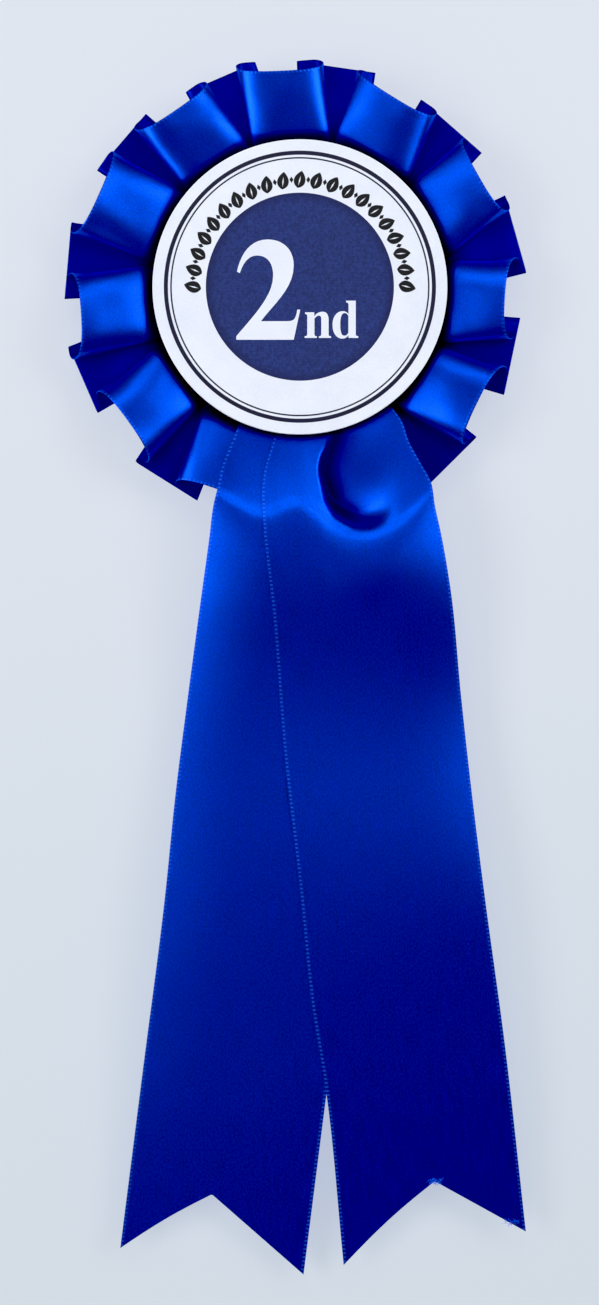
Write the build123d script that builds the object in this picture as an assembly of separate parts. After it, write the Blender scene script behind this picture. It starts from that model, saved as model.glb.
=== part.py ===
"""Award rosette: a printed centre on a ring of box-pleated satin ribbon, with two
swallow-tailed ribbon tails hanging in front of the pleats and a hinged bar pin behind.

Frame, in millimetres: +Z up, +X to the viewer's right, the printed face looks along -Y.
The origin is the middle of the bar pin's stem, straight behind the rosette's centre.
"""

import math
import os

from build123d import *

# ---- driving sizes ----
RIBBON_WIDTH = 50.0  # the tails are cut from standard 50 mm satin ribbon
SHEET = 0.35  # thickness given to every layer of ribbon
CENTRE_R = 40.0  # printed centre and its card
BASE_CARD_R = 31.0  # card that the ribbons are stapled to
BACK_CARD_R = 33.0  # card that hides the staples and carries the pin

# ---- depths, as the y of each layer; the viewer is at -y ----
PLATE_BACK, PLATE_FRONT = -2.9, -3.5
BACK_CARD_FRONT = -4.5
BASE_CARD_BACK, BASE_CARD_FRONT = -5.1, -6.1
PAD_BACK = -8.15
CENTRE_CARD_BACK, CENTRE_CARD_FRONT = -10.4, -12.0
PRINT_FRONT = -12.2
REAR_HEAD_Y = -8.8  # middle of the rear tail where it is clamped
TAIL_STEP = 0.6  # the front tail lies this much in front of the rear one

# ---- pleats ----
PLEATS = 12
FIRST_PLEAT_DEG = 93.0
FOLD_DEPTH = 0.45  # height of the rounded edge of a fold, kept blunt
RING_R = (24.0, 41.0, 62.0)  # inner edge, edge of the centre, outer edge
BACK_PANEL_OUTER_R = 64.8
FRONT_HALF = (5.9, 10.2, 11.75)  # half width of a raised front panel on each ring
BACK_HALF = (4.5, 8.0, 10.0)  # half width of the panel lying between two fronts
FRONT_Y = (-7.6, -8.0, -12.5)
PRESSED_FRONT_Y = (-7.6, -7.9, -8.6)  # for the pleats that lie under the tails
BACK_Y = (-6.4, -6.2, -4.2)
PRESSED_FROM_DEG, PRESSED_TO_DEG = 235.0, 310.0

# ---- tails ----
HINGE_GAP = 1.5  # slot left between two links of one ribbon
LIFT_Z = -62.0  # the tails bend forward here, over the mouth of the pleats
FRONT_LIFT_Z = -92.0  # the front tail bends away from the rear one here
NOTCH = 18.0  # depth of the swallow tail
CREST_RISE = 4.5  # how far the crest stands in front of the clamped head
HEAD_TOP, HEAD_END = 40.0, 20.0  # distances above the crest
FALL = 24.0  # distance below the crest in which the tail drops to its hanging plane
HANG_Y = -2.5  # middle of the rear tail's hanging part
REAR_CREST = (0.9, LIFT_Z)  # x, z of the middle of the crest
REAR_TILT = 6.9
REAR_LENGTH = 204.0  # crest to tips
FRONT_CREST = (13.5, LIFT_Z)
FRONT_TILT = -6.6
FRONT_LENGTH = 201.0
SHEET_REACH = 100.0  # a sheet wide enough to cut any tail from

# ---- bar pin ----
WIRE_R = 0.45
PIVOT_X = 16.5
STEM_COLLAR_X = 14.5  # the bare stem starts here
STEM_TAPER_X = -14.0  # and its point starts here
STEM_TIP_X = -19.0
TIP_R = 0.08
COLLAR_R = 0.62
EYE_R, EYE_BORE_R, EYE_HALF = 1.3, 0.55, 0.45
RIVET_R, RIVET_HEAD_R, RIVET_HEAD = 0.5, 0.85, 0.35
EAR_IN, EAR_OUT, EAR_R, EAR_BORE_R = 0.55, 1.05, 1.5, 0.52
PLATE_LENGTH, PLATE_WIDTH = 41.0, 5.5
CATCH_FROM, CATCH_TO = -18.5, -15.5
CATCH_IN_R, CATCH_OUT_R = 1.45, 1.95
SLEEVE_IN_R, SLEEVE_OUT_R, SLEEVE_RIM_R = 0.75, 1.40, 1.95
SLEEVE_RIM, RIM_GAP = 0.7, 0.1
SLOT_DEG = 100.0  # opening of the catch and of its sleeve
LEVER_AT_DEG, LEVER_WIDTH, LEVER_R = -60.0, 0.9, 3.3
PLATE_HOLE_X = 9.0
HOLE_R, SHANK_R, TUBE_R, FLANGE_R, FLANGE = 1.0, 0.95, 0.5, 1.7, 0.35
SPIN_DEPTH = 0.45  # the rolled-over end of a tubular rivet

# ---- small parts between the cards ----
PAD_R = 4.5
PAD_AT = ((23.0, 22.0), (-23.0, 22.0), (31.5, -5.0), (-31.5, -5.0))
GLUE_R, GLUE_RING_R, GLUE_DOTS = 3.5, 20.0, 5
THREAD_R = 0.2
STITCH_R, STITCH_LENGTH, STITCHES_PER_PLEAT = 25.0, 3.2, 2
STITCH_Y = -8.1
STAPLE_CROWN, STAPLE_WIRE, STAPLE_FLAT = 11.0, 0.5, 0.35
STAPLE_AT = ((-7.0, -29.0), (16.0, -29.0))
CLINCH = 3.5  # length of a staple's bent end


def disc(radius, y_back, y_front, x=0.0, z=0.0):
    """A flat disc facing the viewer."""
    turned = Pos(x, (y_back + y_front) / 2, z) * Rot(90, 0, 0)
    return turned * Cylinder(radius, abs(y_back - y_front))


def rod_x(radius, x_from, x_to):
    """A round rod on the pin's axis."""
    return Pos((x_from + x_to) / 2, 0, 0) * Rot(0, 90, 0) * Cylinder(radius, abs(x_to - x_from))


def block(x_from, x_to, y_from, y_to, z_from, z_to):
    """A box given by its limits."""
    middle = Pos((x_from + x_to) / 2, (y_from + y_to) / 2, (z_from + z_to) / 2)
    return middle * Box(abs(x_to - x_from), abs(y_to - y_from), abs(z_to - z_from))


def save(part, node):
    """Write one sub-part."""
    export_step(part, f"parts/{node}.step")


# ---- thin sheets ----
def offset_path(path, distance):
    """The open path moved sideways, with mitred corners."""
    normals = []
    for a, b in zip(path, path[1:]):
        length = math.hypot(b[0] - a[0], b[1] - a[1])
        normals.append((-(b[1] - a[1]) / length, (b[0] - a[0]) / length))
    moved = []
    for i, (u, v) in enumerate(path):
        first = normals[max(i - 1, 0)]
        last = normals[min(i, len(normals) - 1)]
        middle = (first[0] + last[0], first[1] + last[1])
        stretch = 2 * distance / (middle[0] ** 2 + middle[1] ** 2)
        moved.append((u + middle[0] * stretch, v + middle[1] * stretch))
    return moved


def triangle(a, b, c):
    """A flat three-cornered face."""
    return Face(Wire.make_polygon([a, b, c], close=True))


def skin_between(row_a, row_b):
    """Triangles that join two closed rows of points."""
    count = len(row_a)
    faces = []
    for i in range(count):
        j = (i + 1) % count
        faces.append(triangle(row_a[i], row_b[i], row_b[j]))
        faces.append(triangle(row_a[i], row_b[j], row_a[j]))
    return faces


# ---- the pleated ribbon ----
def pleat_path(ring, centre_deg):
    """One front panel, its hidden leg, the panel behind and the next leg, as (mm along the ring, y)."""
    pitch = 2 * math.pi * RING_R[ring] / PLEATS
    pressed = PRESSED_FROM_DEG < centre_deg % 360 < PRESSED_TO_DEG
    front_y = (PRESSED_FRONT_Y if pressed else FRONT_Y)[ring]
    next_pressed = PRESSED_FROM_DEG < (centre_deg + 360 / PLEATS) % 360 < PRESSED_TO_DEG
    next_y = (PRESSED_FRONT_Y if next_pressed else FRONT_Y)[ring]
    back_y = BACK_Y[ring]
    front, back = FRONT_HALF[ring], BACK_HALF[ring]
    return [
        (-front, front_y),
        (front, front_y),
        (front, front_y + FOLD_DEPTH),
        (pitch / 2 - back, back_y - FOLD_DEPTH),
        (pitch / 2 - back, back_y),
        (pitch / 2 + back, back_y),
        (pitch / 2 + back, back_y - FOLD_DEPTH),
        (pitch - front, next_y + FOLD_DEPTH),
    ]


def pleat_ring_rows(ring):
    """The two sides of the sheet on one ring, as closed rows of points in space."""
    radius = RING_R[ring]
    path = []
    outward = []
    for pleat in range(PLEATS):
        centre = FIRST_PLEAT_DEG + pleat * 360 / PLEATS
        start = math.radians(centre) * radius
        for number, (u, y) in enumerate(pleat_path(ring, centre)):
            path.append((start + u, y))
            on_back_panel = ring == len(RING_R) - 1 and number in (3, 4, 5, 6)
            outward.append(BACK_PANEL_OUTER_R if on_back_panel else radius)
    # pad the path at both ends, so that the closing corners are mitred like the others
    turn = 2 * math.pi * radius
    padded = [(path[-1][0] - turn, path[-1][1])] + path + [(path[0][0] + turn, path[0][1])]
    rows = []
    for side in (-SHEET / 2, SHEET / 2):
        row = []
        for (u, y), reach in zip(offset_path(padded, side)[1:-1], outward):
            angle = u / radius
            row.append((reach * math.cos(angle), y, reach * math.sin(angle)))
        rows.append(row)
    return rows


def make_pleated_ribbon():
    """One sheet folded into box pleats and closed into a ring."""
    rows = [pleat_ring_rows(ring) for ring in range(len(RING_R))]
    faces = []
    for inner, outer in zip(rows, rows[1:]):
        faces += skin_between(inner[0], outer[0])
        faces += skin_between(outer[1], inner[1])
    faces += skin_between(rows[0][1], rows[0][0])
    faces += skin_between(rows[-1][0], rows[-1][1])
    return Solid(Shell(faces))


# ---- the tails ----
def tail_path(length, in_front):
    """Middle line of a tail seen from the side, as (y, distance above the crest)."""
    head_y = REAR_HEAD_Y - in_front
    crest_y = head_y - CREST_RISE
    hang_y = HANG_Y - in_front
    return [
        (head_y, HEAD_TOP),
        (head_y, HEAD_END),
        (crest_y + 0.8, 3.0),
        (crest_y, -1.0),
        (crest_y + 2.0, -6.0),
        (hang_y - 2.5, -FALL + 5.0),
        (hang_y, -FALL - 3.0),
        (hang_y, -length - 10.0),
    ]


def make_tail(length, tilt, crest, in_front):
    """The whole ribbon of one tail: a sheet bent along level lines, cut to its slanting outline."""
    path = tail_path(length, in_front)
    outline = offset_path(path, SHEET / 2) + offset_path(path, -SHEET / 2)[::-1]
    profile = Face(Wire.make_polygon([(-SHEET_REACH, y, z + crest[1]) for y, z in outline], close=True))
    sheet = extrude(profile, amount=2 * SHEET_REACH, dir=(1, 0, 0))
    half = RIBBON_WIDTH / 2
    corners = [(-half, HEAD_TOP), (half, HEAD_TOP), (half, -length), (0, -length + NOTCH), (-half, -length)]
    cutter_face = Face(Wire.make_polygon([(x, -SHEET_REACH / 2, z) for x, z in corners], close=True))
    cutter = extrude(cutter_face, amount=SHEET_REACH, dir=(0, 1, 0))
    return sheet & (Pos(crest[0], 0, crest[1]) * Rot(0, tilt, 0) * cutter)


def slice_z(part, z_from, z_to):
    """The part between two heights."""
    return part & block(-150, 150, -40, 20, z_from, z_to)


LOW = -400.0
rear = make_tail(REAR_LENGTH, REAR_TILT, REAR_CREST, 0.0)
front = make_tail(FRONT_LENGTH, FRONT_TILT, FRONT_CREST, TAIL_STEP)
GAP = HINGE_GAP / 2


def make_rear_tail_head():
    return slice_z(rear, LIFT_Z + GAP, 0)


def make_rear_tail():
    return slice_z(rear, LOW, LIFT_Z - GAP)


def make_front_tail_head():
    return slice_z(front, LIFT_Z + GAP, 0)


def make_front_tail_neck():
    return slice_z(front, FRONT_LIFT_Z + GAP, LIFT_Z - GAP)


def make_front_tail():
    return slice_z(front, LOW, FRONT_LIFT_Z - GAP)


# ---- cards, pads and glue ----
def make_centre_print():
    return disc(CENTRE_R, CENTRE_CARD_FRONT, PRINT_FRONT)


def make_centre_card():
    return disc(CENTRE_R, CENTRE_CARD_BACK, CENTRE_CARD_FRONT)


def make_foam_pads():
    return Compound([disc(PAD_R, PAD_BACK, CENTRE_CARD_BACK, x, z) for x, z in PAD_AT])


def make_base_card():
    return disc(BASE_CARD_R, BASE_CARD_BACK, BASE_CARD_FRONT)


def make_back_card():
    card = disc(BACK_CARD_R, PLATE_FRONT, BACK_CARD_FRONT)
    for x in (-PLATE_HOLE_X, PLATE_HOLE_X):
        card -= disc(HOLE_R, PLATE_FRONT + 1, BACK_CARD_FRONT - 1, x)
    return card


def make_glue_dots():
    dots = []
    for i in range(GLUE_DOTS):
        angle = math.radians(90 + i * 360 / GLUE_DOTS)
        x, z = GLUE_RING_R * math.cos(angle), GLUE_RING_R * math.sin(angle)
        dots.append(disc(GLUE_R, BACK_CARD_FRONT, BASE_CARD_BACK, x, z))
    return Compound(dots)


def make_pleat_stitching():
    """A running stitch around the pleats' inner edge."""
    count = PLEATS * STITCHES_PER_PLEAT
    stitches = []
    for i in range(count):
        angle = 360 * (i + 0.5) / count
        stitch = Rot(0, 90, 0) * Cylinder(THREAD_R, STITCH_LENGTH)
        stitches.append(Rot(0, -angle, 0) * Pos(0, STITCH_Y, STITCH_R) * stitch)
    return Compound(stitches)


def make_staple(x, z):
    """Crown in front of the tails' heads, legs through to the back of the base card."""
    crown_y = REAR_HEAD_Y - TAIL_STEP - SHEET / 2
    half = STAPLE_CROWN / 2
    low, high = z - STAPLE_WIRE / 2, z + STAPLE_WIRE / 2
    clinch_y = BASE_CARD_BACK + STAPLE_FLAT
    wire = block(x - half, x + half, crown_y, crown_y - STAPLE_FLAT, low, high)
    for side in (-1, 1):
        leg_out = x + side * half
        leg_in = leg_out - side * STAPLE_WIRE
        bent = leg_out - side * CLINCH
        wire += block(leg_in, leg_out, crown_y - STAPLE_FLAT, clinch_y, low, high)
        wire += block(bent, leg_out, BASE_CARD_BACK, clinch_y, low, high)
    return wire.solid()


def make_staples():
    return Compound([make_staple(x, z) for x, z in STAPLE_AT])


# ---- the bar pin ----
def slot_wedge(radius, x_from, x_to):
    """The opening of the catch, which faces away from the card."""
    half = math.radians(SLOT_DEG / 2)
    reach = 2 * radius
    corners = [(x_from, 0, 0)]
    for angle in (-half, half):
        corners.append((x_from, reach * math.cos(angle), reach * math.sin(angle)))
    return extrude(Face(Wire.make_polygon(corners, close=True)), amount=x_to - x_from, dir=(1, 0, 0))


def make_pin_base():
    """Plate with two ears for the hinge and the open tube that holds the catch."""
    half_length, half_width = PLATE_LENGTH / 2, PLATE_WIDTH / 2
    plate = block(-half_length, half_length, PLATE_FRONT, PLATE_BACK, -half_width, half_width)
    edges = plate.edges().filter_by(Axis.Y)
    plate = fillet(edges, half_width * 0.9)
    base = plate
    for side in (-1, 1):
        ear = block(
            PIVOT_X - EAR_R, PIVOT_X + EAR_R, PLATE_BACK, 0, side * EAR_IN, side * EAR_OUT
        )
        ear += Pos(PIVOT_X, 0, side * (EAR_IN + EAR_OUT) / 2) * Cylinder(EAR_R, EAR_OUT - EAR_IN)
        base += ear
    base -= Pos(PIVOT_X, 0, 0) * Cylinder(EAR_BORE_R, 2 * EAR_OUT + 1)
    tube = rod_x(CATCH_OUT_R, CATCH_FROM, CATCH_TO)
    foot = block(CATCH_FROM, CATCH_TO, PLATE_BACK, 0, -CATCH_IN_R, CATCH_IN_R)
    housing = tube + foot - rod_x(CATCH_IN_R, CATCH_FROM - 1, CATCH_TO + 1)
    housing -= slot_wedge(CATCH_OUT_R, CATCH_FROM - 1, CATCH_TO + 1)
    base += housing
    for x in (-PLATE_HOLE_X, PLATE_HOLE_X):
        base -= disc(HOLE_R, PLATE_BACK + 1, PLATE_FRONT - 1, x)
    return base.solid()


def make_catch_sleeve():
    """Slotted sleeve that rolls inside the catch; its slot lines up with the catch at rest."""
    rim_from = CATCH_FROM - RIM_GAP - SLEEVE_RIM
    rim_to = CATCH_TO + RIM_GAP + SLEEVE_RIM
    sleeve = rod_x(SLEEVE_OUT_R, rim_from, rim_to)
    sleeve += rod_x(SLEEVE_RIM_R, rim_from, rim_from + SLEEVE_RIM)
    sleeve += rod_x(SLEEVE_RIM_R, rim_to - SLEEVE_RIM, rim_to)
    lever = block(rim_to - SLEEVE_RIM, rim_to, 0, LEVER_R, -LEVER_WIDTH / 2, LEVER_WIDTH / 2)
    sleeve += Rot(LEVER_AT_DEG, 0, 0) * lever
    sleeve -= rod_x(SLEEVE_IN_R, rim_from - 1, rim_to + 1)
    sleeve -= slot_wedge(SLEEVE_RIM_R, rim_from - 1, rim_to + 1)
    return sleeve.solid()


def make_pin_stem():
    """Eye on the hinge rivet, bare stem and a ground point."""
    stem = Pos(PIVOT_X, 0, 0) * Cylinder(EYE_R, 2 * EYE_HALF)
    stem += rod_x(WIRE_R, STEM_TAPER_X, PIVOT_X - EYE_BORE_R - 0.2)
    collar = rod_x(COLLAR_R, STEM_COLLAR_X, PIVOT_X - 1.0)
    stem += collar & block(0, PIVOT_X, -2, 2, -EYE_HALF, EYE_HALF)
    point = Cone(WIRE_R, TIP_R, STEM_TAPER_X - STEM_TIP_X)
    stem += Pos((STEM_TAPER_X + STEM_TIP_X) / 2, 0, 0) * Rot(0, -90, 0) * point
    stem -= Pos(PIVOT_X, 0, 0) * Cylinder(EYE_BORE_R, 2)
    return stem.solid()


def make_hinge_rivet():
    rivet = Pos(PIVOT_X, 0, 0) * Cylinder(RIVET_R, 2 * EAR_OUT + RIVET_HEAD)
    for side in (-1, 1):
        z = side * (EAR_OUT + RIVET_HEAD / 2 + 0.02)
        rivet += Pos(PIVOT_X, 0, z) * Cylinder(RIVET_HEAD_R, RIVET_HEAD)
    return rivet.solid()


def make_pin_rivet(x):
    """Tubular rivet through the plate and the back card."""
    rivet = disc(SHANK_R, PLATE_BACK, BACK_CARD_FRONT, x)
    rivet += disc(FLANGE_R, PLATE_BACK, PLATE_BACK + FLANGE, x)
    rivet += disc(FLANGE_R, BACK_CARD_FRONT, BACK_CARD_FRONT - SPIN_DEPTH, x)
    rivet -= disc(TUBE_R, PLATE_BACK + 1, BACK_CARD_FRONT - 1, x)
    return rivet.solid()


def make_pin_rivets():
    return Compound([make_pin_rivet(x) for x in (-PLATE_HOLE_X, PLATE_HOLE_X)])


PARTS = {
    "centre_print": make_centre_print,
    "centre_card": make_centre_card,
    "foam_pads": make_foam_pads,
    "pleated_ribbon": make_pleated_ribbon,
    "pleat_stitching": make_pleat_stitching,
    "staples": make_staples,
    "base_card": make_base_card,
    "glue_dots": make_glue_dots,
    "back_card": make_back_card,
    "rear_tail_head": make_rear_tail_head,
    "rear_tail": make_rear_tail,
    "front_tail_head": make_front_tail_head,
    "front_tail_neck": make_front_tail_neck,
    "front_tail": make_front_tail,
    "pin_base": make_pin_base,
    "pin_rivets": make_pin_rivets,
    "hinge_rivet": make_hinge_rivet,
    "pin_stem": make_pin_stem,
    "catch_sleeve": make_catch_sleeve,
}

os.makedirs("parts", exist_ok=True)
for node, make in PARTS.items():
    save(make(), node)
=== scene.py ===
"""Looks of the award rosette: satin pleats and tails, printed centre, cards and bar pin.

Lengths are in millimetres until a mesh is made, which turns them into metres.
"""
import math
import random

import bpy
import numpy as np
from mathutils import Matrix, Vector, noise


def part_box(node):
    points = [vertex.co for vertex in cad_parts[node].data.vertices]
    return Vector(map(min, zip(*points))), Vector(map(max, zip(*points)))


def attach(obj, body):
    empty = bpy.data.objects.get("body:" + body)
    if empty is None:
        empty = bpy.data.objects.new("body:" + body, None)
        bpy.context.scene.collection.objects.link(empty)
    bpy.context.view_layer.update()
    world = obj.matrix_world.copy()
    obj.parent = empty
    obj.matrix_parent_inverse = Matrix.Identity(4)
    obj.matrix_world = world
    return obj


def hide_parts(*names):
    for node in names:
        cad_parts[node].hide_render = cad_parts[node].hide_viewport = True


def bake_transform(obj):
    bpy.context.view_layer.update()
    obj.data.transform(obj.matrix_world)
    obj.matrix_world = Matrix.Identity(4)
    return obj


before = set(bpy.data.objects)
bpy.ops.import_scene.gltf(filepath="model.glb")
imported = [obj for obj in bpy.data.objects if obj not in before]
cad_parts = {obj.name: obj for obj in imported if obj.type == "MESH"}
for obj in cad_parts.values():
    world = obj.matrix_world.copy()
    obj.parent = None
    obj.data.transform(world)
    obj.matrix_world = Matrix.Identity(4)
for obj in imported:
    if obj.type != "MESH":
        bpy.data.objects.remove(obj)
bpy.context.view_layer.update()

MM = 0.001


disc_lo, disc_hi = [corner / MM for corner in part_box("centre_print")]
DISC_R = (disc_hi.x - disc_lo.x) / 2
FACE_Y = disc_lo.y  # the printed face

# ---- camera: straight on, from the distance of a hand-held one ----
VIEW_HEIGHT = 354.6  # height of the frame at the depth VIEW_Y
VIEW_MIDDLE = (-0.1, -99.2)  # x and z in the middle of the frame
VIEW_Y = -11.0
CAMERA_DISTANCE = 600.0
SENSOR = 36.0


def as_seen(x, z, y):
    """The point at depth y that the camera sees where it sees (x, z) of the plane VIEW_Y."""
    k = (CAMERA_DISTANCE + y - VIEW_Y) / CAMERA_DISTANCE
    middle_x, middle_z = VIEW_MIDDLE
    return middle_x + (x - middle_x) * k, y, middle_z + (z - middle_z) * k


# ---- small helpers ----
SEED_STEP = 7.3  # how far apart two seeds' patterns lie in the noise
DARKEST = 2.0  # the painted shade value that paints cloth nearly black; at 1 it is painted dark blue
RIM_LINE = 0.6  # width of the painted shadow line round the centre that is painted nearly black in full


def smooth(a, b, x):
    """A smooth step: 0 up to a, 1 from b on."""
    t = np.clip((x - a) / (b - a), 0, 1)
    return t * t * (3 - 2 * t)


def hill(x, middle, half):
    """A smooth hill, 1 at the middle and 0 further than half from it."""
    t = np.clip(np.abs(x - middle) / half, 0, 1)
    return (1 - t * t) ** 2


def through(points, x):
    """A smooth curve through (x, value) points."""
    xs = np.array([p[0] for p in points], float)
    ys = np.array([p[1] for p in points], float)
    slope = np.gradient(ys, xs)
    x = np.clip(x, xs[0], xs[-1])
    i = np.clip(np.searchsorted(xs, x) - 1, 0, len(xs) - 2)
    h = xs[i + 1] - xs[i]
    t = (x - xs[i]) / h
    # cubic Hermite weights of the two values and the two slopes
    h00 = 2 * t**3 - 3 * t**2 + 1
    h10 = t**3 - 2 * t**2 + t
    h01 = -2 * t**3 + 3 * t**2
    h11 = t**3 - t**2
    return h00 * ys[i] + h10 * h * slope[i] + h01 * ys[i + 1] + h11 * h * slope[i + 1]


def ripple(x, z, size, seed):
    """Slow smooth unevenness, between -1 and 1."""
    return noise.noise(Vector((x / size, z / size, seed * SEED_STEP)))


def new_object(name, mesh, material, body=None):
    """An object with its material, riding on a body if one is named."""
    obj = bpy.data.objects.new(name, mesh)
    bpy.context.scene.collection.objects.link(obj)
    mesh.materials.append(material)
    if body:
        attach(obj, body)
    return obj


def mesh_from(name, points, faces, shade=True):
    """A mesh from points in mm."""
    mesh = bpy.data.meshes.new(name)
    mesh.from_pydata([(p[0] * MM, p[1] * MM, p[2] * MM) for p in points], [], faces)
    if shade:
        mesh.shade_smooth()
    mesh.update()
    return mesh


def paint_shade(mesh, values):
    """Stores the painted shade of each vertex, by how deep in a fold it lies, 0 to DARKEST, for the satin."""
    layer = mesh.attributes.new("painted_shade", "FLOAT", "POINT")
    layer.data.foreach_set("value", np.clip(values, 0, DARKEST).astype(np.float32))


def with_rim_shadow(painted_shades, radius, reach):
    """The painted shade values with a painted shadow strip close under the rim of the centre added to them.
    """
    rim = 1 - smooth(DISC_R + RIM_LINE, DISC_R + reach, radius)
    return painted_shades * (1 - rim) + DARKEST * rim


def closed_band(name, grid, uv):
    """A band whose last column joins the first; uv has one column more, for the seam."""
    rows, cols = grid.shape[:2]
    faces, corner_uv = [], []
    for r in range(rows - 1):
        for c in range(cols):
            n = (c + 1) % cols
            faces.append((r * cols + c, r * cols + n, (r + 1) * cols + n, (r + 1) * cols + c))
            corner_uv += [uv[r, c], uv[r, c + 1], uv[r + 1, c + 1], uv[r + 1, c]]
    mesh = bpy.data.meshes.new(name)
    mesh.from_pydata((grid.reshape(-1, 3) * MM).tolist(), [], faces)
    layer = mesh.uv_layers.new(name="UVMap")
    layer.data.foreach_set("uv", np.array(corner_uv, np.float32).ravel())
    mesh.shade_smooth()
    mesh.update()
    return mesh


# ---- materials ----
class Nodes:
    """Short forms for building a material's node tree."""

    MIX_A, MIX_B, MIX_RESULT = 6, 7, 2  # the colour sockets of a mix node

    def __init__(self, name):
        self.material = bpy.data.materials.new(name)
        self.material.use_nodes = True
        self.tree = self.material.node_tree
        self.shader = self.tree.nodes["Principled BSDF"]

    def add(self, kind, **settings):
        node = self.tree.nodes.new(kind)
        for key, value in settings.items():
            setattr(node, key, value)
        return node

    def link(self, out, socket):
        self.tree.links.new(out, socket)

    def put(self, value, socket):
        """Links an output or sets a plain value."""
        if isinstance(value, bpy.types.NodeSocket):
            self.link(value, socket)
        else:
            socket.default_value = value

    def maths(self, operation, a, b=0.0):
        node = self.add("ShaderNodeMath", operation=operation)
        for value, socket in zip((a, b), node.inputs):
            self.put(value, socket)
        return node.outputs[0]

    def product(self, a, b):
        return self.maths("MULTIPLY", a, b)

    def mix(self, factor, a, b):
        """Mixes two colours, each an output or a tuple."""
        node = self.add("ShaderNodeMix", data_type="RGBA")
        self.put(factor, node.inputs["Factor"])
        for color, place in ((a, self.MIX_A), (b, self.MIX_B)):
            self.put((*color, 1) if isinstance(color, tuple) else color, node.inputs[place])
        return node.outputs[self.MIX_RESULT]

    def step(self, value, low, high):
        """A smooth step from low to high."""
        node = self.add("ShaderNodeMapRange", interpolation_type="SMOOTHSTEP")
        for number, socket in zip((value, low, high), node.inputs):
            self.put(number, socket)
        return node.outputs[0]

    def place(self):
        """Where the shaded point is in the object, in metres."""
        return self.add("ShaderNodeTexCoord").outputs["Object"]

    def split(self, vector):
        """The three parts of a vector."""
        node = self.add("ShaderNodeSeparateXYZ")
        self.link(vector, node.inputs[0])
        return node.outputs

    def join(self, **parts):
        """A vector from its X, Y and Z parts; one left out is 0."""
        node = self.add("ShaderNodeCombineXYZ")
        for name, part in parts.items():
            self.link(part, node.inputs[name])
        return node.outputs[0]

    def bump(self, height, strength, distance):
        """Raises the surface by height, where 1 stands for distance in metres."""
        node = self.add("ShaderNodeBump")
        self.link(height, node.inputs["Height"])
        node.inputs["Strength"].default_value = strength
        node.inputs["Distance"].default_value = distance
        self.link(node.outputs[0], self.shader.inputs["Normal"])

    def noise(self, vector, scale, detail=3.0):
        node = self.add("ShaderNodeTexNoise")
        node.inputs["Scale"].default_value = scale
        node.inputs["Detail"].default_value = detail
        self.link(vector, node.inputs["Vector"])
        return node.outputs["Fac"]

    def set(self, **values):
        """Sets inputs of the shader, each named with _ for a space."""
        for name, value in values.items():
            self.put(value, self.shader.inputs[name.replace("_", " ")])


def srgb(*levels):
    """A colour given as 0 to 255 in sRGB, by the sRGB formula."""
    values = [level / 255 for level in levels]
    return tuple(v / 12.92 if v < 0.04045 else ((v + 0.055) / 1.055) ** 2.4 for v in values)


FLOAT_LENGTH = 0.9  # visible float of the satin weave
FLOAT_SHIFT = 0.4  # how much further each thread's floats start than its neighbour's, in floats
THREAD = 0.22  # pitch of its threads
TICK = 1.1  # pitch of the selvedge stitches
SELVEDGE = 0.9  # width of the selvedge
STREAKS = (0.12, 1.4)  # scale of the slow streaks, along the threads and across them
GRAIN = (1.5, 2.6)  # the same for the fine grain
SHEEN_IOR = 10.0  # the threads' bright sheen, far stronger than a plain surface's
# colours of that sheen: on the bright grain, on the dull grain, and with painted shade deep in a fold
SHEEN_TINT, SHEEN_LOW, SHEEN_FOLD_SHADE = (0.012, 0.13, 1.0), (0.008, 0.095, 0.80), (0.002, 0.012, 0.22)
# colours of the cloth: its dark and bright streaks, painted shade deep in a fold, and painted shadow where it
# is nearly black
SATIN_DARK, SATIN_BRIGHT = (0.001, 0.0, 0.17), (0.002, 0.001, 0.42)
SATIN_FOLD_SHADE, SATIN_DARKEST_SHADE = (0.001, 0.0, 0.165), (0.0, 0.0, 0.012)
# the stitches are the cloth's own; this bright blue on them is a painted glint
STITCH_GLINT_BLUE = (0.06, 0.16, 0.90)
PLEAT_WIDTH, TAIL_WIDTH = 37.0, 50.0  # of the two ribbons
FIELD_R = 25.5  # the blue field in the centre
FIELD_RIM = 22.5  # from here on it gets deeper in tone
FIELD_WEAVE = 0.00055  # pitch of its threads, in metres


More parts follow.
